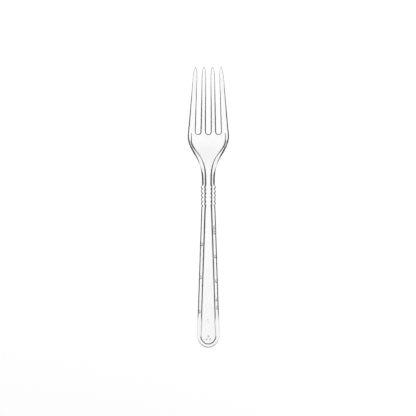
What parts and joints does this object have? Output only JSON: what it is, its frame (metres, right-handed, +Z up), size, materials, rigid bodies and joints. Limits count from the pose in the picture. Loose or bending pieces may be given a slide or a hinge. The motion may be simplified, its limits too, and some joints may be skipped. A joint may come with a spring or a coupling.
{
  "type": "clear plastic fork",
  "caption": "Clear disposable table fork with a ribbed handle, a beaded grip, a shallow bowl and slim tapered tines.",
  "frame": {"origin": "on the table, under the middle of the fork's box, with the fork lying on its back", "axes": "+Y along the fork towards the tine tips, +Z up out of the bowl, +X across the fork to the right"},
  "size_m": [0.0266, 0.18, 0.0155],
  "materials": {
    "clear_plastic": "clear, high gloss"
  },
  "bodies": {
    "root": {"fork": "clear_plastic"}
  },
  "joints": []
}
